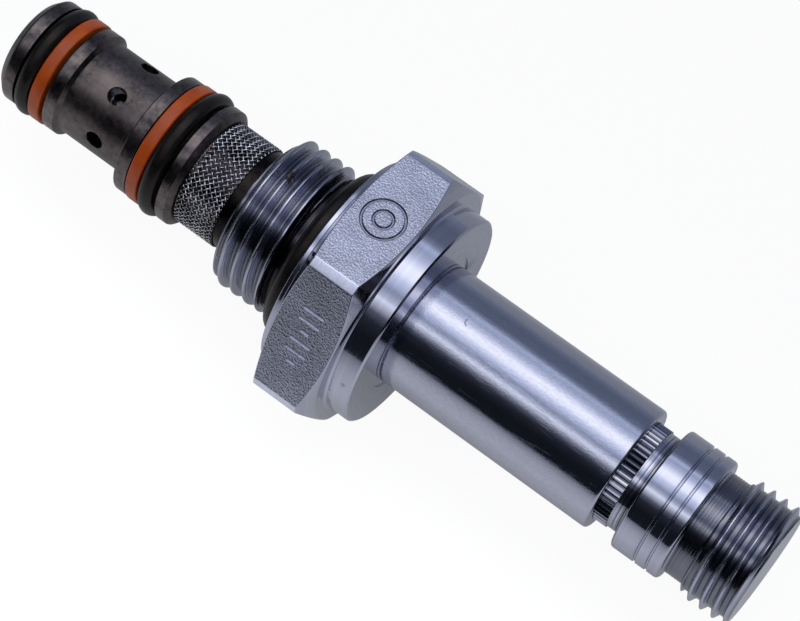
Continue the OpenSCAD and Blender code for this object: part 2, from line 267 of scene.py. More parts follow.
def wire_faces(base, steps, sides, reverse=False):
    """The faces of a swept wire with closed ends, whose first vertex is base."""
    faces = []
    for i in range(steps):
        for j in range(sides):
            k = (j + 1) % sides
            a, b = base + i * sides, base + (i + 1) * sides
            faces.append((a + j, b + j, b + k, a + k))
    faces.append(tuple(base + j for j in range(sides)))
    faces.append(tuple(base + steps * sides + j for j in reversed(range(sides))))
    return [tuple(reversed(face)) for face in faces] if reverse else faces


def welded(mesh, sharp=32):
    """Joins a mesh's seams, drops what has no face and shades it smooth between its sharp edges."""
    bm = bmesh.new()
    bm.from_mesh(mesh)
    bmesh.ops.remove_doubles(bm, verts=bm.verts, dist=4e-7)
    bmesh.ops.dissolve_degenerate(bm, dist=1e-7, edges=bm.edges)
    bmesh.ops.delete(bm, geom=[e for e in bm.edges if not e.link_faces], context="EDGES")
    bm.to_mesh(mesh)
    bm.free()
    mesh.shade_smooth()
    mesh.set_sharp_from_angle(angle=math.radians(sharp))
    return mesh


def piece(name, mesh, body, materials, replaced=()):
    """Puts a mesh in the scene as a piece of the valve."""
    obj = bpy.data.objects.new(name, mesh)
    bpy.context.scene.collection.objects.link(obj)
    for material in materials:
        mesh.materials.append(material)
    if replaced:
        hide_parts(*replaced)
    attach(obj, body)
    return obj


def cut(obj, cutters, sharp=32):
    """Cuts shapes out of a piece, then removes them."""
    bpy.context.view_layer.update()
    for cutter in cutters:
        boolean = obj.modifiers.new("cut", "BOOLEAN")
        boolean.operation = "DIFFERENCE"
        boolean.solver = "EXACT"
        boolean.object = cutter
    graph = bpy.context.evaluated_depsgraph_get()
    mesh = bpy.data.meshes.new_from_object(obj.evaluated_get(graph))
    obj.modifiers.clear()
    old = obj.data
    obj.data = mesh
    bpy.data.meshes.remove(old)
    for cutter in cutters:
        shape = cutter.data
        bpy.data.objects.remove(cutter)
        bpy.data.meshes.remove(shape)
    return welded(mesh, sharp)


def flat_normals(obj):
    """Lets large faces keep their own normals, so that flats stay flat beside their fillets."""
    weight = obj.modifiers.new("normals", "WEIGHTED_NORMAL")
    weight.keep_sharp = True
    weight.weight = 60
    return obj


def joined(name, builds):
    """One mesh object from several bmesh builders, used as a cutter."""
    bm = bmesh.new()
    for build in builds:
        build(bm)
    mesh = bpy.data.meshes.new(name)
    bm.to_mesh(mesh)
    bm.free()
    obj = bpy.data.objects.new(name, mesh)
    bpy.context.scene.collection.objects.link(obj)
    return obj


def radial(turn, x, r):
    """A place on the valve whose local Z axis points outwards and local X along the valve."""
    angle = turn * TURN
    out = Vector((0, math.cos(angle), math.sin(angle)))
    along = Vector((1, 0, 0))
    side = out.cross(along)
    frame_here = Matrix((along, side, out)).transposed().to_4x4()
    frame_here.translation = out * r * MM + along * x * MM
    return frame_here


def lathe_cutter(place, profile, sides=40):
    """A turned cutter about the local Z axis of place; profile holds (radius, height) points."""

    def build(bm):
        rings = []
        for r, h in profile:
            ring = []
            for i in range(sides):
                angle = TURN * i / sides
                point = Vector((r * math.cos(angle), r * math.sin(angle), h))
                ring.append(bm.verts.new(place @ (point * MM)))
            rings.append(ring)
        for low, high in zip(rings, rings[1:]):
            for i in range(sides):
                k = (i + 1) % sides
                bm.faces.new((low[i], low[k], high[k], high[i]))
        bm.faces.new(list(reversed(rings[0])))
        bm.faces.new(rings[-1])

    return build


def stroke_cutter(place, line, width, depth, closed=False):
    """An engraved line: a groove with sloping sides along (x, y) points in the plane of place."""
    proud = 0.06

    def build(bm):
        count = len(line)
        section = [(-0.62, proud), (-0.12, -depth), (0.12, -depth), (0.62, proud)]
        rings = []
        for i, point in enumerate(line):
            before = line[i - 1] if closed or i else point
            after = line[(i + 1) % count] if closed or i < count - 1 else point
            way = (Vector(after) - Vector(before)).normalized()
            across = Vector((-way.y, way.x))
            ring = []
            for s, h in section:
                side = Vector(point) + across * (width * s)
                ring.append(bm.verts.new(place @ (Vector((side.x, side.y, h)) * MM)))
            rings.append(ring)
        pairs = list(zip(rings, rings[1:]))
        if closed:
            pairs.append((rings[-1], rings[0]))
        for low, high in pairs:
            for i in range(4):
                k = (i + 1) % 4
                bm.faces.new((low[i], low[k], high[k], high[i]))
        if not closed:
            bm.faces.new(list(reversed(rings[0])))
            bm.faces.new(rings[-1])
        bmesh.ops.recalc_face_normals(bm, faces=bm.faces)

    return build


# ---------------------------------------------------------------- materials

class Nodes:
    """Adds shader nodes to one node tree."""

    def __init__(self, tree):
        self.tree = tree

    def find(self, kind):
        return next(n for n in self.tree.nodes if n.type == kind)

    def add(self, kind, inputs=(), **settings):
        node = self.tree.nodes.new(kind)
        for key, value in settings.items():
            setattr(node, key, value)
        for key, value in dict(inputs).items():
            self.feed(node.inputs[key], value)
        return node

    def feed(self, socket, value):
        if isinstance(value, bpy.types.NodeSocket):
            self.tree.links.new(value, socket)
        else:
            socket.default_value = value

    def math(self, operation, a, b=0.0, c=0.0):
        return self.add("ShaderNodeMath", {0: a, 1: b, 2: c}, operation=operation).outputs[0]

    def scaled(self, vector, factor):
        node = self.add("ShaderNodeVectorMath", {0: vector, "Scale": factor}, operation="SCALE")
        return node.outputs[0]

    def split(self, vector):
        return self.add("ShaderNodeSeparateXYZ", {0: vector}).outputs[:3]

    def ramp(self, fac, stops):
        """A colour ramp through (place, level or colour) stops."""
        node = self.add("ShaderNodeValToRGB", {"Fac": fac})
        ramp = node.color_ramp
        while len(ramp.elements) < len(stops):
            ramp.elements.new(0.5)
        for element, (place, value) in zip(ramp.elements, stops):
            element.position = place
            element.color = (*value, 1) if isinstance(value, tuple) else (value, value, value, 1)
        return node.outputs["Color"]

    def range(self, fac, low, high, from_low=0.3, from_high=0.7, **settings):
        """low at from_low to high at from_high, and no further."""
        limits = {"From Min": from_low, "From Max": from_high, "To Min": low, "To Max": high}
        return self.add("ShaderNodeMapRange", {"Value": fac, **limits}, **settings).outputs[0]


class Paint(Nodes):
    """A small helper that builds one procedural material around a Principled BSDF."""

    def __init__(self, name, metallic, roughness, color):
        self.material = bpy.data.materials.new(name)
        self.material.use_nodes = True
        super().__init__(self.material.node_tree)
        self.bsdf = self.find("BSDF_PRINCIPLED")
        self.bsdf.inputs["Metallic"].default_value = metallic
        self.bsdf.inputs["Roughness"].default_value = roughness
        self.bsdf.inputs["Base Color"].default_value = (*color, 1)
        self.height = None
        self.object_space = self.add("ShaderNodeTexCoord").outputs["Object"]

    def parts(self):
        """x, y, z of the point in millimetres."""
        return self.split(self.scaled(self.object_space, 1 / MM))

    def off_axis(self):
        """Distance from the axis in millimetres."""
        x, y, z = self.parts()
        return self.math("SQRT", self.math("ADD", self.math("MULTIPLY", y, y), self.math("MULTIPLY", z, z)))

    def around(self, radius):
        """(x, arc length round the axis, distance from the axis) in millimetres, its seam underneath."""
        x, y, z = self.parts()
        angle = self.math("ARCTAN2", y, z)
        arc = self.math("MULTIPLY", angle, radius)
        return self.add("ShaderNodeCombineXYZ", {0: x, 1: arc, 2: self.off_axis()}).outputs[0]

    def noise(self, vector, scale, stretch=(1, 1, 1), detail=3.0, rough=0.5):
        mapped = self.add("ShaderNodeMapping", {"Vector": vector, "Scale": stretch}).outputs[0]
        return self.add(
            "ShaderNodeTexNoise", {"Vector": mapped, "Scale": scale, "Detail": detail, "Roughness": rough}
        ).outputs["Fac"]

    def lines(self, scale, detail=2.0):
        """Turned lines: a noise that is the same all the way round the axis."""
        along = self.math("MULTIPLY_ADD", self.off_axis(), 1.37, self.parts()[0])
        return self.add(
            "ShaderNodeTexNoise", {"W": along, "Scale": scale, "Detail": detail}, noise_dimensions="1D"
        ).outputs["Fac"]

    def mix(self, fac, a, b, blend="MIX"):
        node = self.add("ShaderNodeMix", data_type="RGBA", blend_type=blend)
        self.feed(node.inputs["Factor"], fac)
        colors = [s for s in node.inputs if s.type == "RGBA"]
        self.feed(colors[0], a if not isinstance(a, tuple) else (*a, 1))
        self.feed(colors[1], b if not isinstance(b, tuple) else (*b, 1))
        return next(s for s in node.outputs if s.type == "RGBA")

    def bump(self, fac, depth, strength=1.0):
        """Adds relief of a depth in millimetres."""
        node = self.add("ShaderNodeBump", {"Height": fac, "Distance": depth * MM, "Strength": strength})
        if self.height is not None:
            self.feed(node.inputs["Normal"], self.height)
        self.height = node.outputs["Normal"]
        self.feed(self.bsdf.inputs["Normal"], self.height)

    def rough(self, socket):
        self.feed(self.bsdf.inputs["Roughness"], socket)

    def color(self, socket):
        self.feed(self.bsdf.inputs["Base Color"], socket)

    def lay(self, amount, color, blend="MIX"):
        """Puts a colour over the one that is there."""
        under = self.bsdf.inputs["Base Color"].links[0].from_socket
        self.color(self.mix(amount, under, color, blend))

    def near(self, x, turn, radius, reach):
        """1 at a place on the surface, falling to 0 at reach millimetres from it."""
        spot = (x, radius * math.cos(turn * TURN), radius * math.sin(turn * TURN))
        here = self.scaled(self.object_space, 1 / MM)
        away = self.add("ShaderNodeVectorMath", {0: here, 1: spot}, operation="DISTANCE").outputs["Value"]
        return self.range(away, 1.0, 0.0, 0.0, reach)


STEEL = (0.43, 0.44, 0.53)
GREY = (0.24, 0.24, 0.25)


def times(color, factor):
    """A colour made lighter or darker."""
    return tuple(min(c * factor, 1) for c in color)


def turned_zinc(name, tint=1.0, rough=(0.07, 0.15), depth=0.0024, grain_depth=0.0005):
    """Bright zinc plate over fine turning lines."""
    p = Paint(name, 1.0, rough[0], STEEL)
    fine, broad = p.lines(6.0, 3.0), p.lines(1.3, 2.0)
    grain = p.noise(p.object_space, 2600, detail=2.0)
    p.color(p.mix(p.range(broad, 0.0, 1.0), times(STEEL, 0.94 * tint), times(STEEL, 1.05 * tint)))
    p.rough(p.range(p.mix(0.5, grain, fine), rough[0], rough[1]))
    p.bump(grain, grain_depth)
    p.bump(fine, depth)
    return p


def drawn_zinc():
    """The hex flats: bright zinc plate over the skin of a drawn bar."""
    p = Paint("zinc_flat", 1.0, 0.2, STEEL)
    peel = p.noise(p.object_space, 5600, detail=1.5, rough=0.55)
    blotch = p.noise(p.object_space, 380, detail=3.0)
    shade = p.mix(p.range(blotch, 0.0, 1.0), times(STEEL, 0.76), times(STEEL, 0.98))
    pocks = p.range(peel, 0.78, 1.1, 0.4, 0.6)
    p.color(p.mix(1.0, shade, pocks, "MULTIPLY"))
    p.rough(p.range(blotch, 0.11, 0.18))
    p.bump(peel, 0.042)
    return p


def polished_tube():
    """Polished stainless tube with long scratches, short rub marks and tiny pits."""
    p = Paint("tube_polish", 1.0, 0.07, STEEL)
    skin = p.around(TUBE_R)
    rubs = p.noise(skin, 3.2, (0.8, 1.6, 1), detail=2.0)
    pits = p.noise(skin, 4.4, (1.1, 0.9, 1), detail=2.0, rough=0.6)
    grit = p.noise(skin, 8.5, detail=2.0, rough=0.6)
    scratch = p.noise(skin, 1.0, (0.35, 24.0, 1), detail=2.0)
    wave = p.noise(skin, 0.34, (0.5, 1.3, 1), detail=2.0)
    p.color(p.mix(p.range(rubs, 0.0, 1.0), times(STEEL, 0.93), times(STEEL, 1.04)))
    p.rough(p.range(p.mix(0.5, rubs, pits), 0.03, 0.08))
    p.bump(wave, 0.002)
    p.bump(pits, 0.0048)
    p.bump(grit, 0.0058)
    p.bump(rubs, 0.001)
    p.bump(p.range(scratch, 0.0, 1.0, 0.66, 0.7), 0.0012)
    return p


def oxide(name, lines=0.002, lift=1.0, rough=(0.22, 0.34), specks=0.004):
    """Satin black oxide, brownish, with cloudy marks where oil and handling changed it."""
    dark, light = times((0.026, 0.022, 0.022), lift), times((0.125, 0.104, 0.100), lift)
    p = Paint(name, 1.0, rough[0], dark)
    cloud = p.noise(p.object_space, 330, detail=5.0, rough=0.6)
    speck = p.noise(p.object_space, 1900, detail=3.0, rough=0.65)
    blend = p.mix(0.45, cloud, speck)
    p.color(p.mix(p.range(blend, 0.0, 1.0, 0.34, 0.68), dark, light))
    p.rough(p.range(blend, rough[0], rough[1]))
    p.bump(speck, specks)
    p.bump(p.lines(5.0, 2.0), lines)
    return p


def rubber(name):
    """Satin nitrile rubber with a faint bloom and a trace of oil."""
    p = Paint(name, 0.0, 0.38, (0.006, 0.006, 0.006))
    p.bsdf.inputs["Specular IOR Level"].default_value = 0.21
    p.bsdf.inputs["Specular Tint"].default_value = (1.0, 0.85, 0.78, 1)
    bloom = p.noise(p.object_space, 700, detail=4.0, rough=0.6)
    grain = p.noise(p.object_space, 4200, detail=2.0)
    p.color(p.mix(p.range(bloom, 0.0, 1.0), (0.005, 0.0045, 0.0044), (0.012, 0.0105, 0.010)))
    p.rough(p.range(bloom, 0.2, 0.4))
    p.bump(bloom, 0.02)
    p.bump(grain, 0.006)
    return p


def ptfe():
    """Orange brown filled PTFE, waxy, its tone varying in clouds."""
    p = Paint("ptfe_orange", 0.0, 0.34, (0.50, 0.080, 0.007))
    p.bsdf.inputs["Specular IOR Level"].default_value = 0.34
    cloud = p.noise(p.object_space, 520, detail=3.0)
    grain = p.noise(p.object_space, 3800, detail=2.0)
    p.color(p.mix(p.range(cloud, 0.0, 1.0), (0.42, 0.058, 0.004), (0.56, 0.095, 0.009)))
    p.rough(p.range(cloud, 0.26, 0.4))
    p.bump(grain, 0.005)
    p.bsdf.inputs["Subsurface Weight"].default_value = 0.12
    p.bsdf.inputs["Subsurface Radius"].default_value = (0.4 * MM, 0.15 * MM, 0.05 * MM)
    p.bsdf.inputs["Subsurface Scale"].default_value = 1.0
    return p


def plain_metal(name, color, rough, lines=0.0012):
    """Machined metal of the inner pieces: turning lines, grain and a little wear."""
    p = Paint(name, 1.0, rough[0], color)
    wear = p.noise(p.object_space, 600, detail=4.0)
    p.color(p.mix(p.range(wear, 0.0, 1.0), times(color, 0.82), times(color, 1.12)))
    p.rough(p.range(wear, rough[0], rough[1]))
    p.bump(p.lines(7.0, 2.0), lines)
    return p


def wire_steel():
    """Fine stainless wire with random stains, darker where it dips under the other wires: painted shade."""
    p = Paint("screen_wire_steel", 1.0, 0.2, GREY)
    stain = p.noise(p.object_space, 900, detail=3.0)
    worn = p.mix(p.range(stain, 0.0, 1.0), (0.22, 0.22, 0.235), (0.82, 0.82, 0.86))
    # Darker towards the inside of the weave, where the wires dip under: painted shade.
    under_shade = p.range(p.off_axis(), 0.06, 1.0, SCREEN_R - 0.22, SCREEN_R - 0.04)
    p.color(p.mix(1.0, worn, under_shade, "MULTIPLY"))
    p.rough(p.range(stain, 0.08, 0.17))
    p.bump(p.noise(p.object_space, 5200, detail=2.0), 0.003)
    return p


def darken_root(paint, root_r):
    """Leaves the bottom of a thread darker than its crests: painted shade in the roots."""
    paint.lay(1.0, paint.range(paint.off_axis(), 0.42, 1.0, root_r, root_r + 0.3), "MULTIPLY")


def stains_and_shade(paint, spots):
    """Lays small stains and patches of painted shade over a paint's colour; spots hold (x, turn, radius,
    reach, colour, share).
    """
    mottle = paint.noise(paint.object_space, 1500, detail=4.0)
    patchy = paint.range(mottle, 0.25, 1.0, 0.44, 0.58)
    for x, turn, radius, reach, color, share in spots:
        spot = paint.math("MULTIPLY", paint.near(x, turn, radius, reach), patchy)
        paint.lay(paint.math("MULTIPLY", spot, share), color)
    return paint.material


def cavity_thread():
    """The adapter's thread, with painted shade in its roots and in the relief behind it, and a few rust
    stains.
    """
    p = turned_zinc("zinc_thread", tint=0.84, rough=(0.08, 0.18), depth=0.045, grain_depth=0.003)
    # Painted shade in the thread's roots.
    darken_root(p, THREAD_ROOT_R)
    # The low relief behind the thread is darkened almost to black: painted shade.
    behind = p.range(p.parts()[0], 0.0, 0.9, RELIEF_X - 0.7, RELIEF_X - 0.1)
    low = p.range(p.off_axis(), 1.0, 0.0, RELIEF_R + 0.12, RELIEF_R + 0.2)
    p.lay(p.math("MULTIPLY", behind, low), (0.035, 0.027, 0.025))
    return stains_and_shade(p, [
        (-6.3, 0.24, THREAD_R, 1.2, (0.07, 0.04, 0.02), 1.6),
        (-4.2, 0.16, THREAD_R, 1.5, (0.05, 0.04, 0.035), 1.2),
    ])


def engraved():
    """The floor and walls of the marks."""
    p = Paint("mark_groove", 1.0, 0.22, STEEL)
    # Darker than the zinc round the marks: painted shade in the grooves.
    p.color(p.mix(p.noise(p.object_space, 2500), (0.20, 0.20, 0.25), (0.42, 0.43, 0.52)))
    p.bump(p.noise(p.object_space, 4000), 0.01)
    return p.material


def plug_metal():
    """The plug's turned surface, with painted shade between the knurl's teeth and dark streaks of painted
    shade in the groove behind them.
    """
    p = turned_zinc("plug_turned", rough=(0.06, 0.13), depth=0.002)
    x = p.parts()[0]
    # Painted shade between the knurl's teeth.
    low = p.range(p.off_axis(), 0.85, 0.0, KNURL_R - 0.13, KNURL_R - 0.04)
    p.lay(p.math("MULTIPLY", low, p.range(x, 1.0, 0.0, KNURL_END, KNURL_END + 0.05)), (0.02, 0.02, 0.025))
    # Dark streaks in the groove between knurl and collar: painted shade.
    groove_from = p.range(x, 0.0, 1.0, KNURL_END + 0.1, KNURL_END + 0.2)
    groove_to = p.range(x, 1.0, 0.0, COLLAR_X + 0.05, COLLAR_X + 0.25)
    shade_streaks = p.range(p.lines(3.2, 3.0), 0.95, 0.0, 0.42, 0.58)
    amount = p.math("MULTIPLY", p.math("MULTIPLY", groove_from, groove_to), shade_streaks)
    p.lay(amount, (0.03, 0.03, 0.036))
    return p.material


def nut_thread():
    p = turned_zinc("nut_thread", tint=0.94, rough=(0.07, 0.16), depth=0.05, grain_depth=0.004)
    # Painted shade in the thread's roots.
    darken_root(p, NUT_ROOT_R)
    return p.material


def cage_black():
    """The cage's oxide, with a worn patch on its neck."""
    p = oxide("cage_oxide", lift=1.35, rough=(0.26, 0.42))
    patch = p.near(-26.3, 0.31, CAGE_NECK_R, 2.6)
    mottle = p.range(p.noise(p.object_space, 800, detail=4.0), 0.3, 1.0)
    p.lay(p.math("MULTIPLY", patch, mottle), (0.21, 0.165, 0.155))
    return p.material


# On the flange face, a darker patch beside the tube is painted shade and reflection of the tube; the
# flange's rim gets a small black stain.
zinc_turned = stains_and_shade(turned_zinc("zinc_turned"), [
    (FLANGE_X, 0.0, 7.6, 1.5, (0.16, 0.14, 0.16), 0.8),
    (8.9, 0.46, 11.1, 0.3, (0.01, 0.01, 0.01), 2.0),
])
zinc_flat = drawn_zinc().material
mark_groove = engraved()
zinc_thread = cavity_thread()
zinc_corner = turned_zinc("zinc_corner", 1.45, (0.2, 0.34), depth=0.006, grain_depth=0.004).material
tube_polish = polished_tube().material
plug_zinc = plug_metal()
nut_zinc = nut_thread()
cage_oxide = cage_black()
land_oxide = oxide("land_oxide", lines=0.016, lift=1.6, rough=(0.2, 0.3), specks=0.003).material
# The retainer's black oxide, darkened further: painted shade in the gap between the screen and the thread.
retainer_shaded_oxide = oxide("retainer_shaded_oxide", lift=0.22).material
seal_rubber = rubber("seal_rubber").material
backup_ptfe = ptfe().material
screen_steel = wire_steel().material
ground_steel = plain_metal("ground_steel", (0.56, 0.57, 0.60), (0.1, 0.2)).material
soft_iron = plain_metal("soft_iron", (0.46, 0.46, 0.48), (0.24, 0.38), 0.002).material
spring_steel = plain_metal("spring_steel", (0.50, 0.50, 0.51), (0.2, 0.32), 0.0006).material
brass = plain_metal("brass", (0.66, 0.46, 0.17), (0.2, 0.34)).material

# The adapter's materials, in the order of the indices that its faces use.
ADAPTER_PAINTS = [zinc_turned, zinc_flat, mark_groove, zinc_thread, zinc_corner]
FLAT, MARK, THREAD, CORNER = 1, 2, 3, 4


# ---------------------------------------------------------------- hex adapter

def hex_radius(turn):
    """Radius of the hex with its turned corners; the flats face 90, 30, -30 degrees and so on."""
    off = (turn * 360) % 60 - 30
    return smin(HEX_FLAT / math.cos(math.radians(off)), HEX_CORNER, 0.03)


cavity_section = thread_section(THREAD_R, THREAD_ROOT_R, THREAD_LAND, THREAD_ROUND)
cavity_phases = thread_phases(THREAD_PITCH, THREAD_LAND, THREAD_R - THREAD_ROOT_R, THREAD_ROUND)


def cavity_radius(x, d):
    front = THREAD_NOSE_R + (x - THREAD_FRONT) * THREAD_LEAD
    back = RELIEF_R + (RELIEF_X - x) * RELIEF_SLOPE
    return smin(cavity_section(d), min(front, back), 0.1)


def adapter_outline(turn):
    r = hex_radius(turn)
    seat_x = SEAT_LEN + (SEAT_CONE_X - SEAT_LEN) * (r - SEAT_R) / (HEX_CORNER - SEAT_R)
    back_x = HEX_LEN - (HEX_LEN - BACK_CONE_X) * (r - BACK_CONE_R) / (HEX_CORNER - BACK_CONE_R)
    nose = [(THREAD_FRONT, r) for r in (SPIGOT_R, THREAD_NOSE_R - 0.16, THREAD_NOSE_R - 0.02)]
    thread = thread_rows(
        turn, THREAD_FRONT, RELIEF_X, THREAD_PITCH, THREAD_CREST_X, cavity_phases, cavity_radius,
    )
    rest = rounded([
        (RELIEF_X, RELIEF_R, 0),
        (RIDGE_X, RELIEF_R, 0.05),
        (RIDGE_X + 0.08, RIDGE_R, 0.06),
        (RIDGE_X + 0.22, RIDGE_R, 0.06),
        (RIDGE_X + 0.3, RELIEF_R, 0.05),
        (SEAL_RECESS, RELIEF_R, 0),
        (SEAL_RECESS, SEAL_RECESS_R, 0),
        (0, SEAL_RECESS_R, 0),
        (0, SEAT_R, 0.1),
        (SEAT_LEN, SEAT_R, 0.06),
        (seat_x, r, 0.12),
        (back_x, r, 0.14),
        (HEX_LEN, BACK_CONE_R, 0.08),
        (HEX_LEN, FLANGE_R, 0.3),
        (FLANGE_X - FLANGE_EDGE, FLANGE_R, 0.05),
        (FLANGE_X, FLANGE_R - FLANGE_EDGE, 0.05),
        (FLANGE_X, FOOT_R, 0.06),
        (FLANGE_X - FOOT_DEPTH, FOOT_R, 0.06),
        (FLANGE_X - FOOT_DEPTH, PILOT_R, 0),
        (TUBE_FROM, PILOT_R, 0),
        (TUBE_FROM, SPIGOT_R, 0),
        (THREAD_FRONT, SPIGOT_R, 0),
    ])
    return nose + thread + rest[:-1]


# Extra columns close to both edges of each turned corner.
corner_edge = math.degrees(math.acos(HEX_FLAT / HEX_CORNER))
hex_columns = [
    (i * 60 + 30 + side * (corner_edge + near)) / 360
    for i in range(6) for side in (-1, 1) for near in (-1.1, -0.6, -0.25, 0, 0.25, 0.6, 1.1)
]

adapter = piece(
    "hex_adapter",
    revolve("hex_adapter", adapter_outline, circle_turns(180, hex_columns)),
    "valve_body", ADAPTER_PAINTS, ["adapter"],
)
for face in adapter.data.polygons:
    x, y, z = face.center / MM
    off_axis = math.hypot(y, z)
    if x < -0.05:
        face.material_index = THREAD
    if 0.6 < x < HEX_LEN and off_axis > HEX_FLAT - 0.3 and abs(face.normal.x) < 0.2:
        angle = math.degrees(math.atan2(face.normal.z, face.normal.y)) % 60
        if abs(angle - 30) < 1:
            face.material_index = FLAT
        elif off_axis > HEX_CORNER - 0.03:
            face.material_index = CORNER

# Two rings on one flat and a row of six bars on the next.
mark_x, mark_r, bar_gap = 4.15, 2.0, 1.15
ring_place = radial(0.25, mark_x, HEX_FLAT)
row_place = radial(0.25 + 1 / 6, mark_x, HEX_FLAT)
ring_line = [(mark_r * math.cos(TURN * i / 36), mark_r * math.sin(TURN * i / 36)) for i in range(36)]
inner_line = [(x * 0.45, y * 0.45) for x, y in ring_line]
marks = [stroke_cutter(ring_place, line, 0.4, 0.12, closed=True) for line in (ring_line, inner_line)]
for i in range(6):
    half = 1.1 if i % 3 else 0.45
    y = (i - 2.5) * bar_gap
    marks.append(stroke_cutter(row_place, [(-half, y), (half, y)], 0.42, 0.13))
engraving = joined("engraving", marks)
for material in ADAPTER_PAINTS:
    engraving.data.materials.append(material)
for face in engraving.data.polygons:
    face.material_index = MARK
cut(adapter, [engraving])
flat_normals(adapter)


# ---------------------------------------------------------------- guide tube

def tube_outline(turn):
    return rounded([
        (TUBE_FROM, TUBE_BORE_R, 0),
        (TUBE_FROM, PILOT_R, 0.1),
        (FLANGE_X - FOOT_DEPTH, PILOT_R, 0),
        (FLANGE_X - FOOT_DEPTH, TUBE_R, 0.08),
        (TUBE_END, TUBE_R, TUBE_EDGE),
        (TUBE_END, TUBE_BORE_R, 0.08),
    ], 8)


tube = piece(
    "coil_tube", revolve("coil_tube", tube_outline, circle_turns(256)),
    "valve_body", [tube_polish], ["guide_tube"],
)
# A small curved dent in the polished tube.
bends = [math.radians(a) for a in range(150, 271, 12)]
nick = [(0.38 * math.cos(a), 0.38 * math.sin(a)) for a in bends]
cut(tube, [joined("nick", [stroke_cutter(radial(0.257, 14.7, TUBE_R), nick, 0.18, 0.07)])])
flat_normals(tube)


# ---------------------------------------------------------------- pole plug

nut_section = thread_section(NUT_R, NUT_ROOT_R, NUT_LAND, NUT_ROUND)
nut_phases = thread_phases(NUT_PITCH, NUT_LAND, NUT_R - NUT_ROOT_R, NUT_ROUND)


def nut_radius(x, d):
    front = NECK_R + (x - NUT_X) * THREAD_LEAD
    back = NUT_R - NUT_END_DEPTH + (STEM_END - x) * 0.95
    return smin(nut_section(d), min(front, back), 0.06)


def plug_outline(turn):
    wave = abs((turn * KNURL_TEETH) % 1 - 0.5) * 2
    knurl = KNURL_R - KNURL_DEPTH * smax(0.06, wave, 0.12)
    low = COLLAR_R - COLLAR_GROOVE_DEPTH
    grooves = []
    for x in COLLAR_GROOVES:
        grooves += [(x - 0.17, COLLAR_R, 0.06), (x - 0.05, low, 0.05)]
        grooves += [(x + 0.05, low, 0.05), (x + 0.17, COLLAR_R, 0.06)]
    neck_x = COLLAR_END + 0.35
    front = rounded([
        (PLUG_FACE, SPRING_BORE_R, 0),
        (PLUG_FACE, TUBE_BORE_R, 0.2),
        (TUBE_END - 0.1, TUBE_BORE_R, 0),
        (TUBE_END - 0.1, knurl, 0),
        (KNURL_END, knurl, 0.08),
        (KNURL_END, GROOVE_R, 0.05),
        (COLLAR_X, GROOVE_R, 0.12),
        (COLLAR_X, COLLAR_R, 0.3),
        *grooves,
        (COLLAR_END, COLLAR_R, 0.4),
        (COLLAR_END, NECK_R, 0.2),
        (neck_x, NECK_R, 0),
    ])
    # Fine turning ridges on the neck.
    rows = 40
    for i in range(1, rows):
        x = neck_x + (NUT_X - neck_x) * i / rows
        front.append((x, NECK_R + NECK_RIDGE * math.sin(i * TURN / 7)))
    thread = thread_rows(turn, NUT_X, STEM_END, NUT_PITCH, NUT_CREST_X, nut_phases, nut_radius)
    end = [(STEM_END, NUT_R - NUT_END_DEPTH - 0.1), (STEM_END, 2.0), (STEM_END, 0)]
    inside = [(SPRING_BORE_END, 0), (SPRING_BORE_END, SPRING_BORE_R)]
    return front + thread + end + inside


plug = piece(
    "pole_plug_turned", revolve("pole_plug_turned", plug_outline, circle_turns(KNURL_TEETH * 8)),
    "valve_body", [plug_zinc, nut_zinc], ["pole_plug"],
)
for face in plug.data.polygons:
    if COLLAR_END + 0.1 < face.center.x / MM < STEM_END - 0.01:
        face.material_index = 1
flat_normals(plug)


# ---------------------------------------------------------------- nose cage

def cage_outline(turn):
    seat_x = MID_END + 0.5
    return rounded([
        (NOSE_X, CAGE_BORE_R, 0.15),
        (NOSE_X, NOSE_R - NOSE_CHAMFER, 0.3),
        (NOSE_X + NOSE_CHAMFER, NOSE_R, 0.3),
        (NOSE_GROOVE[0], NOSE_R, 0.08),
        (NOSE_GROOVE[0], NOSE_GROOVE_R, 0.1),
        (NOSE_GROOVE[1], NOSE_GROOVE_R, 0.1),
        (NOSE_GROOVE[1], NOSE_R, 0.08),
        (CAGE_NECK[0], NOSE_R, 0.08),
        (CAGE_NECK[0] + 0.35, CAGE_NECK_R, 0.15),
        (CAGE_NECK[1], CAGE_NECK_R, 0.2),
        (CAGE_NECK[1], CAGE_R, 0.14),
        (MID_GROOVE[0], CAGE_R, 0.08),
        (MID_GROOVE[0], MID_GROOVE_R, 0.1),
        (MID_GROOVE[1], MID_GROOVE_R, 0.1),
        (MID_GROOVE[1], CAGE_R, 0.08),
        (MID_END, CAGE_R, 0.12),
        (seat_x, CAGE_R - 0.6, 0.1),
        (seat_x, SCREEN_SEAT_R, 0.05),
        (PORT_GROOVE[0], SCREEN_SEAT_R, 0),
        (PORT_GROOVE[0], PORT_GROOVE_R, 0),
        (PORT_GROOVE[1], PORT_GROOVE_R, 0),
        (PORT_GROOVE[1], SCREEN_SEAT_R, 0),
        (SCREEN_TO, SCREEN_SEAT_R, 0),
        (SCREEN_TO, SPIGOT_R, 0),
        (HIDDEN_GROOVE[0], SPIGOT_R, 0),
        (HIDDEN_GROOVE[0], HIDDEN_GROOVE_R, 0),
        (HIDDEN_GROOVE[1], HIDDEN_GROOVE_R, 0),
        (HIDDEN_GROOVE[1], SPIGOT_R, 0),
        (CAGE_END, SPIGOT_R, 0),
        (CAGE_END, CAGE_BORE_R, 0),
        (SNAP_GROOVE[1], CAGE_BORE_R, 0),
        (SNAP_GROOVE[1], SNAP_GROOVE_R, 0),
        (SNAP_GROOVE[0], SNAP_GROOVE_R, 0),
        (SNAP_GROOVE[0], CAGE_BORE_R, 0),
    ])


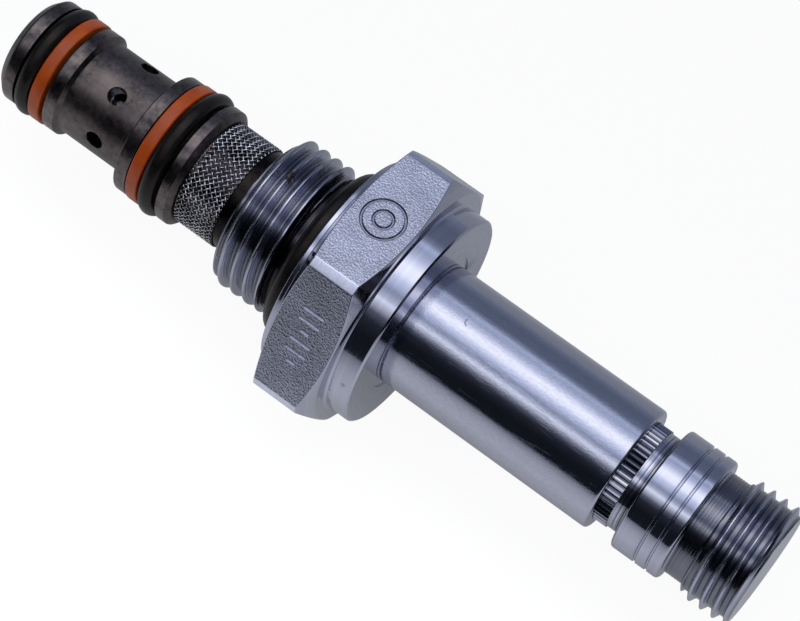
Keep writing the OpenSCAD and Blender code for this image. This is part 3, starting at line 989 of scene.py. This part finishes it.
cage = piece(
    "nose_cage", revolve("nose_cage", cage_outline, circle_turns(192)),
    "valve_body", [cage_oxide, land_oxide], ["cage"],
)
for face in cage.data.polygons:
    x, y, z = face.center / MM
    land_r = NOSE_R if x < sum(CAGE_NECK) / 2 else CAGE_R
    if math.hypot(y, z) > land_r - 0.03:
        face.material_index = 1
edge_r = HOLE_R + 0.06
lower_drill = [(HOLE_R, 2.0), (HOLE_R, CAGE_NECK_R - 0.09), (edge_r, CAGE_NECK_R), (edge_r, 7)]
upper_drill = [(HOLE_R, 2.0), (HOLE_R, 6)]
holes = []
for i in range(HOLE_COUNT):
    turn = HOLE_TURN + i / HOLE_COUNT
    holes.append(lathe_cutter(radial(turn, PORT_X, 0), lower_drill))
    holes.append(lathe_cutter(radial(turn + 0.5 / HOLE_COUNT, SCREEN_PORT_X, 0), upper_drill))
drills = joined("cross_holes", holes)
drills.data.materials.append(cage_oxide)
drills.data.materials.append(land_oxide)
cut(cage, [drills])
flat_normals(cage)


# ---------------------------------------------------------------- seals and backup rings

def ring_outline(mean_r, x, radius, count=24):
    def outline(turn):
        return [
            (x - radius * math.cos(TURN * i / count), mean_r + radius * math.sin(TURN * i / count))
            for i in range(count)
        ]
    return outline


def seal(name, node):
    """An O-ring where the CAD has it."""
    low, high, outer = span(node)
    radius = (high - low) / 2
    return piece(
        name, revolve(name, ring_outline(outer - radius, (low + high) / 2, radius), circle_turns(160)),
        "valve_body", [seal_rubber], [node],
    )


def backup(name, node, inner_r):
    """A backup ring with rounded edges."""
    low, high, outer = span(node)

    def outline(turn):
        corners = [(low, inner_r, 0.1), (low, outer, 0.22), (high, outer, 0.22), (high, inner_r, 0.1)]
        return rounded(corners, 5)

    ring = piece(
        name, revolve(name, outline, circle_turns(160)),
        "valve_body", [backup_ptfe], [node],
    )
    return flat_normals(ring)


seal("nose_seal", "nose_o_ring")
seal("mid_seal", "mid_o_ring")
seal("hex_seal", "hex_o_ring")
backup("nose_backup", "nose_backup_ring", NOSE_GROOVE_R)
backup("mid_backup", "mid_backup_ring", MID_GROOVE_R)


# ---------------------------------------------------------------- filter screen

def screen_mesh(name, per_pitch=8, sides=6):
    """Woven wire at 45 degrees both ways, each wire going over and under the others."""
    mean_r = (SCREEN_R + SCREEN_SEAT_R) / 2
    length = SCREEN_TO - SCREEN_FROM
    pitch = TURN * mean_r / SCREEN_WIRES
    steps = int(length / pitch * per_pitch)
    verts, faces = [], []
    for way in (1, -1):
        for i in range(SCREEN_WIRES):
            base = len(verts)
            for k in range(steps + 1):
                s = length * k / steps
                angle = (i * pitch + way * s) / mean_r
                r = mean_r + way * SCREEN_WIRE_R * 0.98 * math.cos(TURN * s / pitch)
                out = Vector((0, math.cos(angle), math.sin(angle)))
                round_axis = Vector((0, -math.sin(angle), math.cos(angle)))
                run = (Vector((1, 0, 0)) + round_axis * way).normalized()
                side = run.cross(out)
                middle = Vector((SCREEN_FROM + s, 0, 0)) + out * r
                for j in range(sides):
                    a = TURN * j / sides
                    verts.append((middle + (out * math.cos(a) + side * math.sin(a)) * SCREEN_WIRE_R) * MM)
            faces += wire_faces(base, steps, sides, reverse=True)
    mesh = bpy.data.meshes.new(name)
    mesh.from_pydata(verts, [], faces)
    mesh.shade_smooth()
    return mesh


piece(
    "woven_screen", screen_mesh("woven_screen"),
    "valve_body", [screen_steel], ["filter_screen"],
)


def retainer_outline(turn):
    low, high, outer = span("screen_retainer")
    return rounded([(low, SPIGOT_R, 0), (low, outer, 0.12), (high, outer, 0.05), (high, SPIGOT_R, 0)])


retainer = piece(
    "screen_ring", revolve("screen_ring", retainer_outline, circle_turns(128)),
    "valve_body", [retainer_shaded_oxide], ["screen_retainer"],
)
flat_normals(retainer)


# ---------------------------------------------------------------- return spring

def spring_mesh(name, sides=12, per_turn=36):
    """Round wire on a helix, its end coils wound closer."""
    low, high, _ = span("return_spring")
    steps = SPRING_TURNS * per_turn
    verts = []
    for i in range(steps + 1):
        t = i / steps
        x = low + SPRING_WIRE_R + (high - low - 2 * SPRING_WIRE_R) * (t - 0.028 * math.sin(TURN * t))
        angle = TURN * SPRING_TURNS * t
        out = Vector((0, math.cos(angle), math.sin(angle)))
        for j in range(sides):
            a = TURN * j / sides
            r = SPRING_R + SPRING_WIRE_R * math.cos(a)
            verts.append((Vector((x + SPRING_WIRE_R * math.sin(a), 0, 0)) + out * r) * MM)
    mesh = bpy.data.meshes.new(name)
    mesh.from_pydata(verts, [], wire_faces(0, steps, sides))
    return welded(mesh, 50)


spring = piece(
    "coil_spring", spring_mesh("coil_spring"),
    "valve_body", [spring_steel], ["return_spring"],
)
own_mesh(spring)


# ---------------------------------------------------------------- pieces kept from the CAD

KEPT = {
    "plug_o_ring": (seal_rubber, "seal_rubber"),
    "cage_o_ring": (seal_rubber, "seal_rubber"),
    "nose_snap_ring": (spring_steel, "spring_steel"),
    "residual_shim": (brass, "brass"),
    "armature": (soft_iron, "soft_iron"),
    "rod_retainer": (brass, "brass"),
    "pull_rod": (ground_steel, "ground_steel"),
    "spool": (ground_steel, "ground_steel"),
    "spool_pin": (ground_steel, "ground_steel"),
}
for node, (material, slot_name) in KEPT.items():
    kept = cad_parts[node]
    kept.data.materials.clear()
    kept.data.materials.append(material)


# ---------------------------------------------------------------- floor, light and camera

def floor_material():
    """Pale paper. It looks white from above; for the valve, an emission paints light on it, brighter in
    front and darker behind.
    """
    p = Paint("floor_paper", 0.0, 0.9, (0.55, 0.55, 0.55))
    fibre = p.noise(p.object_space, 900, detail=4.0)
    p.color(p.mix(fibre, (0.53, 0.53, 0.52), (0.57, 0.57, 0.56)))
    p.bump(fibre, 0.02)
    y = p.parts()[1]
    # Painted light: the floor glows brighter in front and darker behind, for the valve's reflections.
    lit = p.ramp(p.range(y, 0.0, 1.0, -300, 60), [
        (0.0, 0.0), (0.55, 0.16), (0.70, 0.32), (0.77, 0.40), (0.86, 0.06), (1.0, 0.02),
    ])
    p.feed(p.bsdf.inputs["Emission Color"], lit)
    p.bsdf.inputs["Emission Strength"].default_value = 1.0
    direct = p.add("ShaderNodeLightPath").outputs["Is Camera Ray"]
    white = p.add("ShaderNodeEmission", {"Color": (1, 1, 1, 1), "Strength": 1.1}).outputs[0]
    whiten = p.math("MULTIPLY", direct, 0.82)
    mix = p.add("ShaderNodeMixShader", {0: whiten, 1: p.bsdf.outputs[0], 2: white})
    p.feed(p.find("OUTPUT_MATERIAL").inputs["Surface"], mix.outputs[0])
    return p.material


FLOOR_REACH = 6.0  # metres
floor_mesh = bpy.data.meshes.new("floor")
corners = [(-1, -1), (1, -1), (1, 1), (-1, 1)]
floor_mesh.from_pydata(
    [(x * FLOOR_REACH, y * FLOOR_REACH, cad_low[2]) for x, y in corners], [], [(0, 1, 2, 3)],
)
floor = bpy.data.objects.new("floor", floor_mesh)
bpy.context.scene.collection.objects.link(floor)
floor_mesh.materials.append(floor_material())

# The room round the valve, by degrees from straight up; positive angles are on the -Y side.
# Each entry is (angle, brightness, blueness): soft lamps overhead, a dim ceiling and a dark wall.
ROOM = [
    (-90, 0.28, 1.5),
    (-72, 0.17, 1.65),
    (-50, 0.19, 1.65),
    (-43, 0.36, 1.5),
    (-38, 0.85, 1.38),
    (-32, 0.60, 1.44),
    (-23, 0.92, 1.3),
    (-11, 1.95, 1.04),
    (-2, 1.85, 1.04),
    (4, 1.20, 1.25),
    (11, 0.84, 1.37),
    (17, 0.45, 1.45),
    (23, 0.72, 1.25),
    (29, 1.50, 1.12),
    (35, 0.80, 1.15),
    (42, 0.16, 1.4),
    (50, 0.03, 1.6),
    (66, 0.012, 1.6),
    (90, 0.015, 1.6),
]
BRIGHTEST = 2.0

world = bpy.data.worlds.new("room")
bpy.context.scene.world = world
world.use_nodes = True
room = Nodes(world.node_tree)
way_x, way_y, way_z = room.split(room.add("ShaderNodeTexCoord").outputs["Generated"])
lean = room.math("ARCTAN2", room.math("MULTIPLY", way_y, -1.0), way_z)
share = room.range(lean, 0.0, 1.0, math.radians(-90), math.radians(90))
stops = []
for angle, bright, blue in ROOM:
    level = bright / BRIGHTEST
    stops.append(((angle + 90) / 180, (level, level * (1 + (blue - 1) * 0.3), level * blue)))
bands = room.ramp(share, stops)
# Towards the valve's two ends the room falls dark, which draws the thin dark lines along turned edges.
fade = room.range(
    room.math("ABSOLUTE", way_x), 1.0, 0.06, 0.45, 0.8, interpolation_type="SMOOTHSTEP",
)
background = room.find("BACKGROUND")
room.feed(background.inputs["Color"], room.scaled(bands, fade))
background.inputs["Strength"].default_value = BRIGHTEST
# Seen directly, beyond the floor's edge, the room is as pale as the floor.
direct = room.add("ShaderNodeLightPath").outputs["Is Camera Ray"]
backdrop = room.add("ShaderNodeBackground", {"Color": (0.97, 0.97, 0.98, 1)}).outputs[0]
seen = room.add("ShaderNodeMixShader", {0: direct, 1: background.outputs[0], 2: backdrop})
room.feed(room.find("OUTPUT_WORLD").inputs["Surface"], seen.outputs[0])

# The photograph looks down from the -Y side, a little from the stem's end, with the picture rolled.
LEAN, TILT, ROLL = math.radians(25.5), math.radians(12.18), math.radians(35.62)
FOCAL, SENSOR, WIDE = 128.8, 36.0, 800
# At AIM_X on the axis a millimetre is SCALE of the picture's 800 units wide, and the point lies AIM_OFF
# of them from the picture's middle.
AIM_X, SCALE = 7.46, 10.95
AIM_OFF = (0.4, 2.8)
up_out = Vector((0, -math.sin(LEAN), math.cos(LEAN)))
across = Vector((0, math.cos(LEAN), math.sin(LEAN)))
axis = Vector((1, 0, 0))
toward = axis * math.sin(TILT) + up_out * math.cos(TILT)
along = axis * math.cos(TILT) - up_out * math.sin(TILT)
right = along * math.cos(ROLL) + across * math.sin(ROLL)
up = -along * math.sin(ROLL) + across * math.cos(ROLL)
distance = FOCAL / SENSOR * WIDE / SCALE
target = axis * AIM_X + right * (AIM_OFF[0] / SCALE) - up * (AIM_OFF[1] / SCALE)

camera_data = bpy.data.cameras.new("camera")
camera_data.lens = FOCAL
camera_data.sensor_width = SENSOR
camera_data.clip_start, camera_data.clip_end = 0.01, 50
camera = bpy.data.objects.new("camera", camera_data)
bpy.context.scene.collection.objects.link(camera)
camera_place = Matrix((right, up, toward)).transposed().to_4x4()
camera_place.translation = (target + toward * distance) * MM
camera.matrix_world = camera_place
bpy.context.scene.camera = camera

scene = bpy.context.scene
scene.view_settings.view_transform = "Standard"
scene.view_settings.look = "None"
scene.cycles.use_denoising = True
scene.cycles.max_bounces = 8
scene.cycles.sample_clamp_indirect = 6.0
